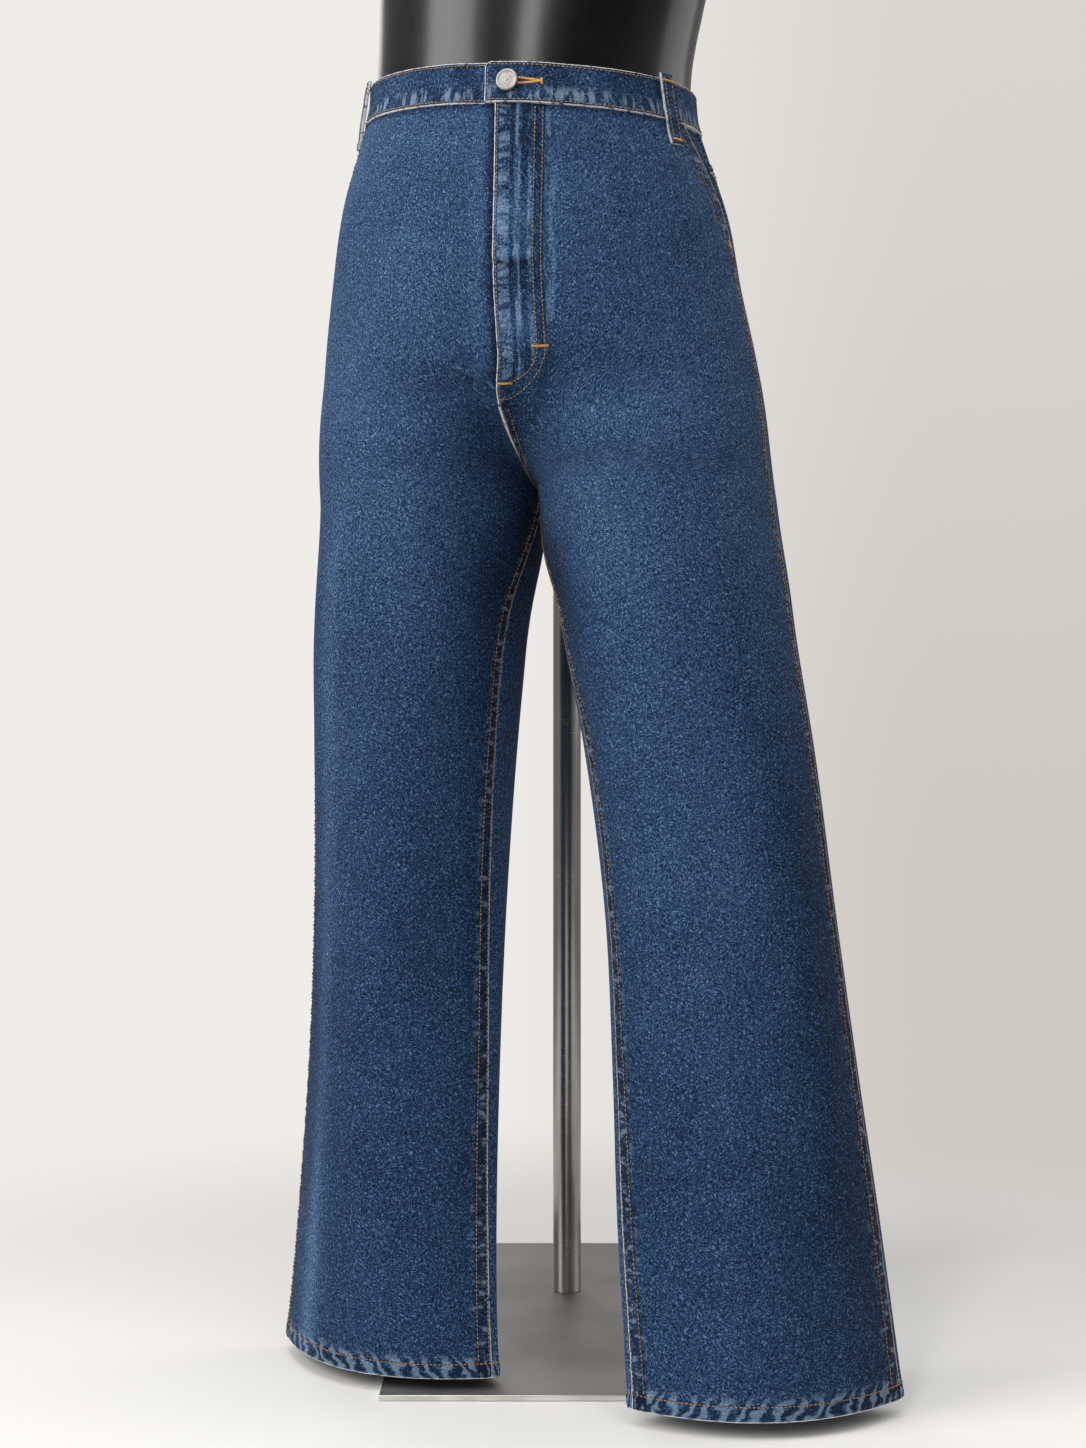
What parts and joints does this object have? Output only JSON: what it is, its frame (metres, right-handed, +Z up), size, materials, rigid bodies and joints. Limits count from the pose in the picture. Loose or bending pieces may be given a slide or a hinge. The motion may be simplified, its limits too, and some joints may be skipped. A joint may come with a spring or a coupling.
{
  "type": "carpenter jeans on a limbless dress form with a pole stand",
  "caption": "Wide-leg high-waisted denim carpenter jeans worn by a limbless glossy dress form on a round pole and a thin steel base plate.",
  "frame": {"origin": "on the floor under the middle of the waist, on the underside of the base plate", "axes": "+Z up, -Y the way the wearer faces, +X the wearer's left"},
  "size_m": [0.5219, 0.5176, 1.1494],
  "materials": {
    "front_panel_right": "washed mid-blue denim",
    "front_panel_left": "washed mid-blue denim",
    "back_panel_right": "washed mid-blue denim",
    "back_panel_left": "washed mid-blue denim",
    "back_yoke_right": "washed mid-blue denim",
    "back_yoke_left": "washed mid-blue denim",
    "pocket_facing_right": "washed mid-blue denim",
    "pocket_facing_left": "washed mid-blue denim",
    "waistband": "washed mid-blue denim",
    "belt_loop_front_right": "washed mid-blue denim",
    "belt_loop_front_left": "washed mid-blue denim",
    "belt_loop_back_right": "washed mid-blue denim",
    "belt_loop_back_left": "washed mid-blue denim",
    "belt_loop_centre_back": "washed mid-blue denim",
    "back_pocket_right": "washed mid-blue denim",
    "back_pocket_left": "washed mid-blue denim",
    "tool_pocket": "washed mid-blue denim",
    "hammer_loop": "washed mid-blue denim",
    "button": "satin silver-grey",
    "form": "glossy black",
    "pole": "brushed steel",
    "base_plate": "dark satin steel"
  },
  "bodies": {
    "root": {"front_panel_right": "front_panel_right", "front_panel_left": "front_panel_left", "back_panel_right": "back_panel_right", "back_panel_left": "back_panel_left", "back_yoke_right": "back_yoke_right", "back_yoke_left": "back_yoke_left", "pocket_facing_right": "pocket_facing_right", "pocket_facing_left": "pocket_facing_left", "waistband": "waistband", "belt_loop_front_right": "belt_loop_front_right", "belt_loop_front_left": "belt_loop_front_left", "belt_loop_back_right": "belt_loop_back_right", "belt_loop_back_left": "belt_loop_back_left", "belt_loop_centre_back": "belt_loop_centre_back", "back_pocket_right": "back_pocket_right", "back_pocket_left": "back_pocket_left", "tool_pocket": "tool_pocket", "hammer_loop": "hammer_loop", "button": "button", "form": "form", "pole": "pole", "base_plate": "base_plate"}
  },
  "joints": []
}
